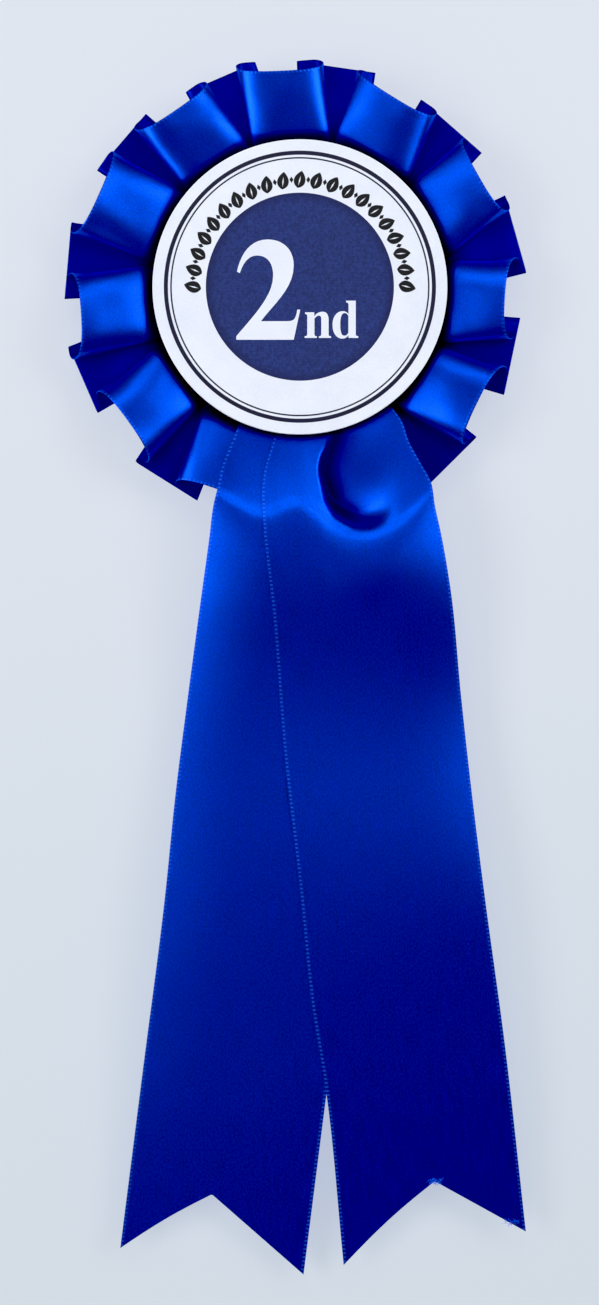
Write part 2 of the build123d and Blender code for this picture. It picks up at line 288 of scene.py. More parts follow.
def satin_material(name, width, clear):
    """Satin: floats along u in mm, selvedges at v = 0 and v = width.

    clear is how strongly the painted glint of the selvedge stitches shows. The mesh's painted shade attribute
    is 1 where the front lies deep in a fold, and there the cloth is painted dark with hardly any sheen.
    Towards 2 it is painted nearly black. The cloth's back stays clear of this.
    """
    n = Nodes(name)
    uv = n.add("ShaderNodeUVMap", uv_map="UVMap")
    u, v, _ = n.split(uv.outputs[0])
    # threads and floats
    threads = n.product(v, 1 / THREAD)
    shift = n.product(n.maths("FLOOR", threads), FLOAT_SHIFT)
    floats = n.maths("ADD", n.maths("DIVIDE", u, FLOAT_LENGTH), shift)
    across = n.step(n.maths("PINGPONG", threads, 0.5), low=0.0, high=0.3)
    along = n.step(n.maths("PINGPONG", floats, 0.5), low=0.0, high=0.12)
    weave = n.product(across, along)
    # slow streaks along the threads and a fine grain
    streak, grain = [n.noise(n.join(X=n.product(u, scale[0]), Y=n.product(v, scale[1])), scale=1.0)
                     for scale in (STREAKS, GRAIN)]
    # selvedge
    from_edge = n.maths("MINIMUM", v, n.maths("SUBTRACT", width, v))
    in_edge = n.maths("SUBTRACT", 1.0, n.step(from_edge, low=SELVEDGE * 0.75, high=SELVEDGE))
    stitch = n.step(n.maths("PINGPONG", n.maths("DIVIDE", u, TICK), 0.5), low=0.22, high=0.36)
    stitch = n.product(in_edge, stitch)
    tone = n.maths("ADD", n.product(streak, 0.5), n.product(grain, 0.5))
    color = n.mix(n.step(tone, low=0.32, high=0.68), SATIN_DARK, SATIN_BRIGHT)
    # painted glint: the selvedge stitches take a bright blue, as strongly as clear says
    color = n.mix(n.product(stitch, clear), color, STITCH_GLINT_BLUE)
    height = n.maths("ADD", n.product(weave, 0.5), n.product(grain, 0.6))
    height = n.maths("ADD", height, n.product(stitch, 1.6))
    n.bump(height, strength=0.3, distance=0.00005)
    # the sheen runs along the threads
    tangent = n.add("ShaderNodeTangent", direction_type="UV_MAP", uv_map="UVMap")
    sheen = n.mix(n.step(grain, low=0.38, high=0.62), SHEEN_LOW, SHEEN_TINT)
    # painted shade in the folds and painted shadow under the centre's rim, on the front only
    painted_shade = n.add("ShaderNodeAttribute", attribute_name="painted_shade").outputs["Fac"]
    normal = n.split(n.add("ShaderNodeTexCoord").outputs["Normal"])
    in_front = n.maths("SUBTRACT", 1.0, n.step(normal["Y"], low=-0.1, high=0.3))
    shade_amount = n.product(n.maths("MINIMUM", painted_shade, 1.0), in_front)
    shadow_amount = n.product(n.maths("MAXIMUM", n.maths("SUBTRACT", painted_shade, 1.0), 0.0), in_front)
    n.set(
        Base_Color=n.mix(shadow_amount, n.mix(shade_amount, color, SATIN_FOLD_SHADE), SATIN_DARKEST_SHADE),
        Specular_Tint=n.mix(shadow_amount, n.mix(shade_amount, sheen, SHEEN_FOLD_SHADE), SATIN_DARKEST_SHADE),
        IOR=SHEEN_IOR,
        Roughness=n.maths("ADD", 0.26, n.product(grain, 0.12)),
        Anisotropic=0.35,
        Anisotropic_Rotation=0.25,
        Tangent=tangent.outputs[0],
    )
    return n.material


def paper_material(name, color, fibre, roughness=0.75):
    """Card or paper: a flat colour with fibre noise."""
    n = Nodes(name)
    place = n.place()
    fine = n.noise(place, scale=2600.0)
    coarse = n.noise(place, scale=120.0, detail=4.0)
    tone = n.maths("ADD", n.product(fine, 0.5), n.product(coarse, 0.5))
    n.set(Base_Color=n.mix(n.step(tone, low=0.35, high=0.65), color, fibre), Roughness=roughness)
    n.bump(fine, strength=0.3, distance=0.00004)
    return n.material


def printed_cloth(name, light, dark, border):
    """The blue field: print on a fine plain weave, deeper in tone at its rim."""
    n = Nodes(name)
    place = n.place()
    x, _, z = n.split(place)
    warp, weft = [n.step(n.maths("PINGPONG", n.maths("DIVIDE", along, FIELD_WEAVE), 0.5), low=0.05, high=0.45)
                  for along in (x, z)]
    weave = n.maths("ADD", warp, weft)
    fine = n.noise(place, scale=1500.0)
    tone = n.maths("ADD", n.product(weave, 0.12), n.product(fine, 0.9))
    radius = n.add("ShaderNodeVectorMath", operation="LENGTH")
    n.link(n.join(X=x, Z=z), radius.inputs[0])
    rim = n.step(radius.outputs["Value"], low=FIELD_RIM * MM, high=FIELD_R * MM)
    color = n.mix(n.step(tone, low=0.3, high=0.85), dark, light)
    n.set(Base_Color=n.mix(n.product(rim, 0.6), color, border), Roughness=0.7)
    n.bump(tone, strength=0.5, distance=0.00005)
    return n.material


def metal_material(name, color, roughness):
    """Plated wire and sheet, with faint drawing marks."""
    n = Nodes(name)
    place = n.place()
    marks = n.noise(place, scale=900.0)
    smudge = n.noise(place, scale=150.0)
    dull = tuple(0.8 * c for c in color)
    n.set(
        Base_Color=n.mix(n.step(smudge, low=0.35, high=0.7), color, dull),
        Metallic=1.0,
        Roughness=n.maths("ADD", roughness, n.product(smudge, 0.15)),
    )
    n.bump(marks, strength=0.2, distance=0.00002)
    return n.material


def foam_material(name, color):
    """Foam with open cells."""
    n = Nodes(name)
    cell = n.add("ShaderNodeTexVoronoi")
    cell.inputs["Scale"].default_value = 1800.0
    n.link(n.place(), cell.inputs["Vector"])
    depth = cell.outputs["Distance"]
    n.set(Base_Color=n.mix(depth, color, tuple(0.7 * c for c in color)), Roughness=0.9)
    n.bump(depth, strength=0.5, distance=0.0002)
    return n.material


pleat_satin = satin_material("pleat_satin", PLEAT_WIDTH, 0.5)
tail_satin = satin_material("tail_satin", TAIL_WIDTH, 0.8)
print_white = paper_material("print_white", srgb(228, 233, 243), srgb(219, 225, 238), 0.55)
card_white = paper_material("card_white", srgb(232, 232, 228), srgb(214, 213, 207))
card_grey = paper_material("card_grey", srgb(168, 166, 158), srgb(142, 139, 130))
navy_ink = paper_material("navy_ink", srgb(4, 4, 40), srgb(8, 8, 52), 0.6)
black_ink = paper_material("black_ink", srgb(3, 3, 8), srgb(7, 7, 14), 0.6)
field_print = printed_cloth("field_print", srgb(28, 52, 124), srgb(10, 26, 86), srgb(4, 10, 66))
steel = metal_material("steel", (0.62, 0.62, 0.63), 0.22)
nickel = metal_material("nickel", (0.70, 0.68, 0.64), 0.28)
foam = foam_material("foam", srgb(238, 238, 232))
glue = paper_material("glue", srgb(214, 208, 190), srgb(200, 194, 172), 0.35)
thread_blue = paper_material("thread_blue", srgb(16, 24, 130), srgb(24, 36, 160), 0.8)
# painted sheen: the loose threads have the cloth's blue, painted as bright as its highlight
thread_painted_sheen = paper_material("thread_painted_sheen", srgb(10, 80, 235), srgb(20, 110, 245), 0.6)

# ---- the pleats ----
# One row for each box, counter-clockwise: the outer corner, the inner fold's tip and the place at
# the centre's edge of its clockwise fold, then the same for the other fold, in degrees and mm,
# then how far the raised edge is pulled back, the height of the mouth, and how much more the
# clockwise side is raised than the other.
PLEATS = (
    ((237.5, 63), (244.8, 64.4), 231.1, (259, 62), (252.5, 63.6), 259, 2.2, 6.5, 0),
    ((264, 61.5), (269, 62.5), 260.5, (280, 61.5), (275, 62.5), 285, 1, 3.2, 0),
    ((285, 61.5), (290, 62.5), 286.5, (302, 62), (299, 65.2), 307.4, 1, 3.2, 0),
    ((316.3, 61.7), (320, 63), 308.8, (339, 60.1), (331.7, 62.9), 337.2, 2.3, 9, -2.8),
    ((346.4, 59.4), (352.6, 60.5), 338.3, (367.8, 59.6), (363.3, 61.8), 370.4, 2.7, 8.5, 0),
    ((20.4, 60.8), (24.5, 61.1), 11.4, (42.4, 60.1), (36, 61.6), 43.1, 2.1, 8, 3),
    ((51.9, 60.4), (57.6, 60.8), 44.3, (75, 61.1), (70.2, 61.9), 77.1, 1.9, 7, 3.2),
    ((84.1, 61.6), (91.3, 61.5), 78, (106.1, 62.7), (100.8, 62.4), 108.6, 1.9, 6.5, 0),
    ((114.6, 61.4), (120.8, 61.4), 109.3, (136.2, 62.5), (131.2, 63.1), 139.2, 2, 7, -1.4),
    ((144, 63), (150.5, 63.7), 140.4, (166.5, 63.9), (164.2, 64.6), 170.3, 2, 8.5, -3),
    ((176.5, 62.7), (183.3, 64.1), 171.4, (197.6, 64.7), (194.2, 64.9), 200.2, 2.7, 9, -1),
    ((207.3, 62.3), (212.2, 64.8), 202.2, (228.9, 63.2), (226.6, 65.2), 229.6, 2.5, 9, 0),
)
RIM_R = 41.0  # where the folds pass under the centre
SHOWN = 21.0  # width of the ribbon from its outer edge to there
INNER_R = 4.0  # the folds end at least this far from the middle
BACK_OUT_Y, BACK_RIM_Y, BACK_IN_Y = -4.5, -5.6, -6.3  # depth of the back: at the mouths, the rim, the middle
FRONT_RIM_Y, FRONT_IN_Y = -8.0, -7.7  # depth of the boxes' fronts at the rim and in the middle
PRESSED_RIM_Y = -7.7  # the first of these for the boxes that lie under the tails
PRESSED_MOUTH = 4.0  # those have mouths no higher than this
FALL = 0.65  # how a box's front falls from its mouth to the rim; 1 is straight
LEG_GAP = (0.3, 0.7)  # how far the leg lies in front of the back at the rim, and how much more at the mouth
LEG_AT_RIM = 13.0  # hidden leg of a box where it passes under the centre, in degrees
LEG_SHARE = 0.42  # the greatest share of its box that it takes
LEG_PUSH = 0.4  # the leg is pushed out by this share of what the front is pulled back
SIDE_RISE = 0.34  # height of the fold's outermost line, as a share of the box's height
ROLL = 1.6  # the greatest depth of the roll under that line
ROLL_FACTOR = 1.6  # how wide the roll is, as a multiple of its depth
BOX_R = 60  # the radius at which a box's width is measured
ROUNDNESS = (2.6, 2.2)  # how square a raised box is across and in depth
FRONT_POINTS, ROLL_POINTS, LEG_POINTS, BACK_POINTS = 48, 5, 3, 16
BACK_SAG = 0.5  # how far the back panels sag away from the viewer between the boxes
ACROSS = 44  # rows of points from the outer edge to the inner one
ROW_SPREAD = 1.25  # above 1 they lie closer together at the outer edge
PLEAT_THICKNESS = 0.22
PLEAT_RIPPLE, PLEAT_RIPPLE_SIZE = 0.35, 9.0  # height and size of the cloth's slow unevenness
SHADE_FROM, SHADE_REACH = 0.5, 5.5  # where the centre's shade on the pleats starts to fade, and its reach
SHADE = 0.65  # the strength of that shade, as a fold value
FLOOR_Y = (-9.2, -6.2)  # from the first depth to the second the pleats pass into deep shade
FLOOR_RISE = 1.8  # these depths move forward by this much close to the centre
RIM_REACH, POCKET_REACH = 2.4, 5.0  # reach of the painted shadow strip round the centre, and its extra in the pockets


def polar(degrees, radius):
    """The point (x, z) in a direction from the middle."""
    a = math.radians(degrees)
    return np.array((radius * math.cos(a), radius * math.sin(a)))


def down_line(outer, rim_deg, distance):
    """The point at a distance from the outer end of a fold: straight to the rim, then to the middle."""
    start, rim = polar(*outer), polar(rim_deg, RIM_R)
    length = np.linalg.norm(rim - start)
    if distance <= length:
        return start + (rim - start) * distance / length
    return polar(rim_deg, max(RIM_R - (distance - length), INNER_R))


def box_row(box, share):
    """One box at a share of the ribbon's width from its outer edge, as (x, z, y) points."""
    corner_a, tip_a, rim_a, corner_b, tip_b, rim_b, pull, mouth, lean = box
    distance = share * PLEAT_WIDTH
    rim_share = SHOWN / PLEAT_WIDTH
    out = max(1 - share / rim_share, 0.0)  # 1 at the mouth and 0 under the centre
    inside = max(share - rim_share, 0.0) / (1 - rim_share)  # 0 at the rim and 1 at the inner edge
    front_rim = FRONT_RIM_Y if mouth > PRESSED_MOUTH else PRESSED_RIM_Y
    back_y = BACK_RIM_Y + (BACK_OUT_Y - BACK_RIM_Y) * out + (BACK_IN_Y - BACK_RIM_Y) * inside
    front_y = front_rim + (BACK_OUT_Y - mouth - front_rim) * out ** FALL + (FRONT_IN_Y - front_rim) * inside
    leg_y = back_y - LEG_GAP[0] - LEG_GAP[1] * out
    side_y = leg_y + (front_y - leg_y) * SIDE_RISE  # depth of the fold's outermost line
    pulled = pull * (1 - share)

    def point(across, depth):
        """The point at a share of the way across from fold a to fold b, at a depth."""
        rise = (depth - leg_y) / (front_y - leg_y)
        moved = distance + pulled * ((1 + LEG_PUSH) * rise - LEG_PUSH)
        a, b = down_line(corner_a, rim_a, moved), down_line(corner_b, rim_b, moved)
        return (*(a * (1 - across) + b * across), depth)

    width = np.linalg.norm(polar(corner_a[0], BOX_R) - polar(corner_b[0], BOX_R))
    top = []
    for step in range(FRONT_POINTS + 1):
        angle = math.pi * step / FRONT_POINTS
        flat = math.copysign(abs(math.cos(angle)) ** (2 / ROUNDNESS[0]), math.cos(angle))
        rise = math.sin(angle) ** (2 / ROUNDNESS[1])
        height = front_y - side_y - lean * 0.5 * flat * math.sqrt(out)
        top.append(point(0.5 - 0.5 * flat, side_y + height * rise))
    roll = min(ROLL, abs(side_y - leg_y)) / width
    under = []
    for step in range(1, ROLL_POINTS + 1):
        angle = math.pi / 2 * step / ROLL_POINTS
        inward = roll * (1 - math.cos(angle)) * ROLL_FACTOR
        under.append((inward, side_y + (leg_y - side_y) * math.sin(angle)))
    leg = min(LEG_AT_RIM, LEG_SHARE * (rim_b - rim_a))
    fold_a = np.array((*down_line(tip_a, rim_a + leg, distance), back_y))
    fold_b = np.array((*down_line(tip_b, rim_b - leg, distance), back_y))
    low_a = [np.array(point(across, depth)) for across, depth in under]
    low_b = [np.array(point(1 - across, depth)) for across, depth in under]
    legs = np.linspace(0, 1, LEG_POINTS + 2)[1:-1, None]
    leg_a = fold_a * (1 - legs) + low_a[-1] * legs
    leg_b = low_b[-1] * (1 - legs) + fold_b * legs
    return np.concatenate([[fold_a], leg_a, low_a[::-1], top, low_b, leg_b, [fold_b]])


def pleat_row(share):
    """One row of points round the whole ring."""
    boxes = [box_row(box, share) for box in PLEATS]
    points = []
    for box, following in zip(boxes, boxes[1:] + boxes[:1]):
        points.append(box)
        t = np.linspace(0, 1, BACK_POINTS + 2)[1:-1, None]
        back = box[-1] * (1 - t) + following[0] * t
        # a back panel sags between the boxes and turns up towards them
        back[:, 2] += BACK_SAG * (1 - share) * np.sin(math.pi * t[:, 0]) ** 0.7
        points.append(back)
    row = np.concatenate(points)
    return (np.roll(row, 1, axis=0) + 2 * row + np.roll(row, -1, axis=0)) / 4


def make_pleats():
    """The whole pleated ribbon as one folded sheet with thickness."""
    shares = np.linspace(0, 1, ACROSS) ** ROW_SPREAD
    rows = np.array([pleat_row(share) for share in shares])
    for row, share in zip(rows, shares):
        for point in row:
            point[2] += PLEAT_RIPPLE * ripple(point[0], point[1], PLEAT_RIPPLE_SIZE, 1) * (1 - share)
    edge = rows[0]
    lengths = np.linalg.norm(np.diff(np.vstack([edge, edge[:1]]), axis=0), axis=1)
    u = np.concatenate([[0], np.cumsum(lengths)])
    uv = np.zeros((ACROSS, len(u), 2))
    uv[..., 0] = u[None, :]
    uv[..., 1] = (shares * PLEAT_WIDTH)[:, None]
    grid = np.stack(as_seen(rows[..., 0], rows[..., 1], rows[..., 2]), axis=-1)
    mesh = closed_band("pleats", grid, uv)
    # painted shade: under the centre, deep between the boxes, and a painted shadow strip round the centre's
    # rim
    radius = np.hypot(grid[..., 0], grid[..., 2])
    under = 1 - smooth(DISC_R + SHADE_FROM, DISC_R + SHADE_REACH, radius)
    low = smooth(*FLOOR_Y, grid[..., 1] + FLOOR_RISE * under)
    reach = RIM_REACH + POCKET_REACH * low
    paint_shade(mesh, with_rim_shadow(np.maximum(low, SHADE * under), radius, reach).ravel())
    obj = new_object("pleated_satin", mesh, pleat_satin, "rosette")
    solid = obj.modifiers.new("thickness", "SOLIDIFY")
    solid.thickness = PLEAT_THICKNESS * MM
    solid.offset = 0
    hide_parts("pleated_ribbon")


make_pleats()

# ---- the tails ----
# outlines as the camera sees them, each as (z, x) from the tips upwards
REAR_LEFT = (
    (-261.0, -48.8), (-213, -42.7), (-166, -36.7), (-137, -33.7), (-111, -30.4), (-82.7, -26.6),
    (-68.2, -24.6), (-58.4, -23.3), (-55.5, -22.6), (-48.8, -21.2), (-40.5, -17.9), (-26, -12.5),
)
REAR_RIGHT = ((-268.2, 1.0), (-216.3, 7.6), (-170, 13.6), (-120, 19.6), (-70, 25.3), (-50, 24.0), (-30, 20.0))
FRONT_LEFT = (
    (-265.6, 11.9), (-216.3, 6.8), (-198.4, 3.8), (-160.3, -0.3), (-129.8, -3.9), (-82.7, -7.9), (-73, -9.1),
    (-66.2, -9.8), (-60.9, -10.1), (-56.5, -10.3), (-50.7, -9.8), (-42.4, -7.4), (-26, -2.0),
)
FRONT_RIGHT = (
    (-256.5, 61.4), (-205.8, 55.7), (-163.7, 50.0), (-137.2, 46.7), (-111.1, 43.8), (-81.8, 40.9),
    (-67.2, 38.4), (-59.4, 36.7), (-52.6, 35.5), (-47.3, 32.6), (-42, 29.7), (-35.7, 27.3), (-33, 25.3),
    (-20, 17.0),
)
REAR_TOP, FRONT_TOP = (-24.0, -30.0), (-24.0, -18.0)  # z of the clamped end at its left and right edge
NOTCH_DEPTH = 18.2
NOTCH_ROWS = 0.2  # the share of a tail's length in which the rows bend to its notch
REAR_BOW, FRONT_BOW = 0.7, 1.0  # how far the left half of the cut end curves up
# the bright line where both tails turn over the mouth of the pleats, as (x, z)
CREST = (
    (-30, -52.5), (-23.1, -55.2), (-18, -57.9), (-12.2, -60.6), (-8.5, -61.0), (-4.3, -59.2), (0.5, -58.4),
    (4.5, -60.7), (9.3, -64.6), (14.1, -67.0), (19, -67.3), (24, -65.5), (29.7, -61.8), (35, -56.5),
    (42, -52),
)
CREST_LEVEL = 61.0  # how far that line lies below the centre on the whole
CALM_FROM, CALM_AT = -1.5, -22  # its waves fade from the first height over it to the second
# how the front tail tilts on its full parts, in degrees, by height over that line; with a positive tilt
# the cloth lies further back the higher it is
TILT = (
    (-215, -8), (-170, -6), (-150, -4), (-130, -4.5), (-112, -2.5), (-98, 1.5), (-84, 5.5), (-72, 6),
    (-60, 2), (-52, -3), (-44, -8), (-36, -11.5), (-28, -12.5), (-20, -10), (-13, -5), (-8, 1), (-5, 5),
    (-3, 8), (-1.5, 12), (0, 20), (1, 16.5), (2.2, 12.5), (6, 11), (12, 8.5), (19, 5), (40, 2),
)
UNDER_CENTRE = (19, -10.5)  # where the tails pass under the centre: height over the crest, and depth
# the tail's depth by height over the crest, summed up from its tilt
OVER = np.linspace(TILT[0][0], TILT[-1][0], 1021)
LEAN = np.tan(np.radians(np.interp(OVER, *zip(*TILT))))
FULL = np.concatenate([[0], np.cumsum((LEAN[1:] + LEAN[:-1]) / 2 * np.diff(OVER))])
FULL += UNDER_CENTRE[1] - np.interp(UNDER_CENTRE[0], OVER, FULL)
CREST_Y = np.interp(0, OVER, FULL)
# how much deeper than the crest the hollow is, by height over it
HOLLOW = (
    (0, 0), (1.2, 0.42), (2.4, 1.2), (3.6, 2.6), (4.8, 4.0), (6.2, 4.9), (8, 5.2), (10, 5.0), (14, 4.3),
    (19, 3.6), (40, 3.4),
)
# the left wall of the hollow, as (z, x)
WALL = (
    (-68, 14.0), (-64.4, 12.6), (-62.6, 9.6), (-59.5, 7.3), (-54.6, 5.9), (-48.6, 4.9), (-45.9, 5.3),
    (-41, 7.0), (-30, 9.5),
)
WALL_SPAN = (-0.1, 1.3)  # from the first distance inside that line to the second the wall goes down
HOLLOW_FULL = 5.0  # up to this distance the hollow has its full depth
HOLLOW_END = 28.0  # x where the hollow has faded out
EDGE_BACK = 2.1  # how far the outer edges of the two tails roll back
EDGE_WIDTH = 18.0  # the width of cloth that rolls back
# the share of that by height over the crest
ROLLED = (
    (-215, 0.0), (-150, 0.15), (-100, 0.3), (-60, 0.45), (-30, 0.75), (-15, 0.9), (-4, 0.8), (12, 0), (40, 0),
)
LAYER = 0.65  # the rear tail lies this much behind the front one
TAIL_THICKNESS = 0.24
WAVE_SIZE, WAVE_HEIGHT, WAVE_STRETCH = 26.0, 0.13, 0.7  # the unevenness of the hanging cloth
WAVE_SPAN = (50, 75)  # it sets in between these distances below the centre
FINE_FROM = 0.70  # above this share of a tail's length the rows of points lie closer together
COARSE_ROWS, FINE_ROWS, COLUMNS = 80, 90, 100
SPLIT_Z = -78.0  # the front tail's two pieces meet at the first row of points that lies above this
RIM_REACH_TAIL = 1.8  # the painted shadow strip's reach round the centre, on the tails
SHADE_REACH_TAIL, SHADE_TAIL = 3.4, 0.95  # reach and strength of the centre's shade on the tails
FRAYS = ((36.8, -242.9, 26), (57.4, -254.2, 24))  # x, z and number of the loose threads
FRAY_STEPS, FRAY_STEP = 4, 0.32  # stretches of each, and their length
FRAY_R, FRAY_PROUD = 0.13, 0.25  # its radius at the root, and how far it lies in front of the tail's middle
CREASE_SHADE = 0.7  # how much the crease inside the hollow's edge adds to the shade
CREASE_IN, CREASE_HALF, CREASE_LIFT = 2.8, 3.8, 2.4  # its distance from the wall, half its width, its height


def above_crest(x, z):
    """Height over the crest; the crest's waves die out in the cloth that hangs from it."""
    over = z - through(CREST, x)
    calm = smooth(CALM_FROM, CALM_AT, over)
    return over * (1 - calm) + (z + CREST_LEVEL) * calm


def rolled_edge(inside, over):
    """How far cloth rolls back, by its distance from the outer edge and height over the crest."""
    return EDGE_BACK * np.clip(1 - inside / EDGE_WIDTH, 0, 1) ** 2 * through(ROLLED, over)


def drape(x, z):
    """Depth of the front tail where the camera sees x, z."""
    over = above_crest(x, z)
    full = np.interp(over, OVER, FULL) + rolled_edge(through(FRONT_RIGHT, z) - x, over)
    hollow = np.where(over > 0, CREST_Y + through(HOLLOW, over), full)
    wall = through(WALL, z)
    fading = (x - wall - HOLLOW_FULL) / (HOLLOW_END - wall - HOLLOW_FULL)
    into = smooth(*WALL_SPAN, x - wall) * (1 - smooth(0, 1, fading))
    return full * (1 - into) + hollow * into


def rear_drape(x, z):
    """Depth of the rear tail where the camera sees x, z."""
    return drape(x, z) + LAYER + rolled_edge(x - through(REAR_LEFT, z), above_crest(x, z))


def band(x, start, full, fade, end):
    """1 from full to fade and 0 outside start and end, with smooth steps."""
    return smooth(start, full, x) * (1 - smooth(fade, end, x))


def tail_painted_shade(x, z):
    """How deep in shade a tail lies: at the hollow's wall, foot and crease, and close under the centre."""
    over = z - through(CREST, x)
    inside = x - through(WALL, z)
    radius = np.hypot(x, z)
    wall = band(inside, 0.0, 1.2, 2.5, 11.0) * smooth(2.2, 3.6, over)
    foot = band(over, 2.2, 3.8, 5.5, 15) * smooth(0.0, 1.2, inside) * (1 - smooth(13, 22, x))
    crease = hill(np.minimum(inside, over - CREASE_LIFT), CREASE_IN, CREASE_HALF)
    crease = crease * smooth(-0.1, 0.6, inside) * (1 - smooth(11, 20, x))
    under = 1 - smooth(DISC_R + SHADE_FROM, DISC_R + SHADE_REACH_TAIL, radius)
    dark = np.maximum(np.maximum(wall, foot), SHADE_TAIL * under) + CREASE_SHADE * crease
    return with_rim_shadow(dark, radius, RIM_REACH_TAIL)


def unevenness(x, z, seed):
    """A little waviness of the hanging cloth."""
    flat = [ripple(a, b * WAVE_STRETCH, WAVE_SIZE, seed) for a, b in zip(x.ravel(), z.ravel())]
    return WAVE_HEIGHT * np.array(flat).reshape(x.shape) * smooth(*WAVE_SPAN, np.abs(z))


def tail_grid(left, right, top, depth, seed, bow):
    """Points, UVs and painted shade of a tail, in rows from edge to edge, from the cut end up to the clamped
    head.
    """
    coarse = np.linspace(0, FINE_FROM, COARSE_ROWS)
    fine = np.linspace(FINE_FROM, 1.0, FINE_ROWS)[1:]
    rows = np.concatenate([coarse, fine])[:, None]
    across = np.linspace(0, 1, COLUMNS)[None, :]
    left_z = left[0][0] + (top[0] - left[0][0]) * rows
    right_z = right[0][0] + (top[1] - right[0][0]) * rows
    x = through(left, left_z) * (1 - across) + through(right, right_z) * across
    z = left_z * (1 - across) + right_z * across
    # swallow tail: rows near the end bend up to the notch in the middle
    near_end = np.clip(1 - rows / NOTCH_ROWS, 0, 1)
    curved = bow * np.sin(2 * math.pi * np.minimum(across, 0.5))
    z = z + (NOTCH_DEPTH * (1 - np.abs(2 * across - 1)) + curved) * near_end
    grid = np.stack(as_seen(x, z, depth(x, z) + unevenness(x, z, seed)), axis=-1)
    uv = np.stack([z, np.broadcast_to(across * TAIL_WIDTH, z.shape)], axis=-1)
    return grid, uv, tail_painted_shade(x, z)


def grid_normals(grid):
    """Unit normals of a grid, pointing at the viewer."""
    normals = np.cross(np.gradient(grid, axis=1), np.gradient(grid, axis=0))
    normals /= np.linalg.norm(normals, axis=-1, keepdims=True)
    return normals * np.where(normals[..., 1:2].mean() > 0, -1, 1)


def cloth_mesh(name, grid, normals, uv, painted_shades, open_side=None):
    """A sheet of cloth with two faces and edges, shaded by the given normals.

    open_side is 'start' or 'end' where the sheet goes on in another piece, so it has no edge there.
    """
    rows, cols = grid.shape[:2]
    half = normals * TAIL_THICKNESS / 2
    points = np.concatenate([(grid + half).reshape(-1, 3), (grid - half).reshape(-1, 3)])
    flat_uv = np.concatenate([uv.reshape(-1, 2)] * 2)
    flat_normals = np.concatenate([normals.reshape(-1, 3), -normals.reshape(-1, 3)])
    behind = rows * cols
    faces, shades = [], []

    def add(face, shading):
        """Adds a face and the normals to shade its corners by."""
        faces.append(face)
        shades.extend(shading)

    for r in range(rows - 1):
        for c in range(cols - 1):
            quad = [r * cols + c, r * cols + c + 1, (r + 1) * cols + c + 1, (r + 1) * cols + c]
            add(quad, [flat_normals[v] for v in quad])
            back = [v + behind for v in reversed(quad)]
            add(back, [flat_normals[v] for v in back])
    loops = [([r * cols for r in range(rows)], 1), ([r * cols + cols - 1 for r in range(rows)], -1)]
    if open_side != "start":
        loops.append((list(range(cols)), -1))
    if open_side != "end":
        loops.append((list(range((rows - 1) * cols, rows * cols)), 1))
    for edge, way in loops:
        for a, b in zip(edge, edge[1:]):
            quad = [a, b, b + behind, a + behind]
            if way < 0:
                quad.reverse()
            p, q, r = (points[v] for v in quad[:3])
            side = np.cross(q - p, r - q)
            side /= max(np.linalg.norm(side), 1e-12)
            add(quad, [side] * 4)
    mesh = bpy.data.meshes.new(name)
    mesh.from_pydata((points * MM).tolist(), [], faces)
    layer = mesh.uv_layers.new(name="UVMap")
    corners = np.array([v for face in faces for v in face])
    layer.data.foreach_set("uv", flat_uv[corners].astype(np.float32).ravel())
    mesh.update()
    # painted shade on the front face only; the back face gets none
    paint_shade(mesh, np.concatenate([painted_shades.ravel(), np.zeros(painted_shades.size)]))
    mesh.normals_split_custom_set([tuple(n) for n in shades])
    return mesh


def bend(obj):
    """Bakes a tail's piece's placement into its mesh."""
    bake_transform(obj)


def make_rear_tail():
    """The rear tail, from its cut end to its clamped head."""
    grid, uv, painted_shades = tail_grid(REAR_LEFT, REAR_RIGHT, REAR_TOP, rear_drape, 2, REAR_BOW)
    mesh = cloth_mesh("rear_tail", grid, grid_normals(grid), uv, painted_shades)
    obj = new_object("rear_tail_satin", mesh, tail_satin)
    bend(obj)
    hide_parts("rear_tail_head", "rear_tail")


def make_front_tail():
    """The front tail, in two pieces that meet between its two bending places."""
    grid, uv, painted_shades = tail_grid(FRONT_LEFT, FRONT_RIGHT, FRONT_TOP, drape, 5, FRONT_BOW)
    normals = grid_normals(grid)
    split = next(r for r in range(grid.shape[0]) if grid[r, :, 2].min() > SPLIT_Z)
    above, below = slice(split, None), slice(0, split + 1)
    upper = cloth_mesh("front_head", grid[above], normals[above], uv[above], painted_shades[above], open_side="start")
    lower = cloth_mesh("front_tail", grid[below], normals[below], uv[below], painted_shades[below], open_side="end")
    upper = new_object("front_tail_head_satin", upper, tail_satin)
    lower = new_object("front_tail_satin", lower, tail_satin)
    bend(upper)
    bend(lower)
    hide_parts("front_tail_head", "front_tail_neck")
    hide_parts("front_tail")


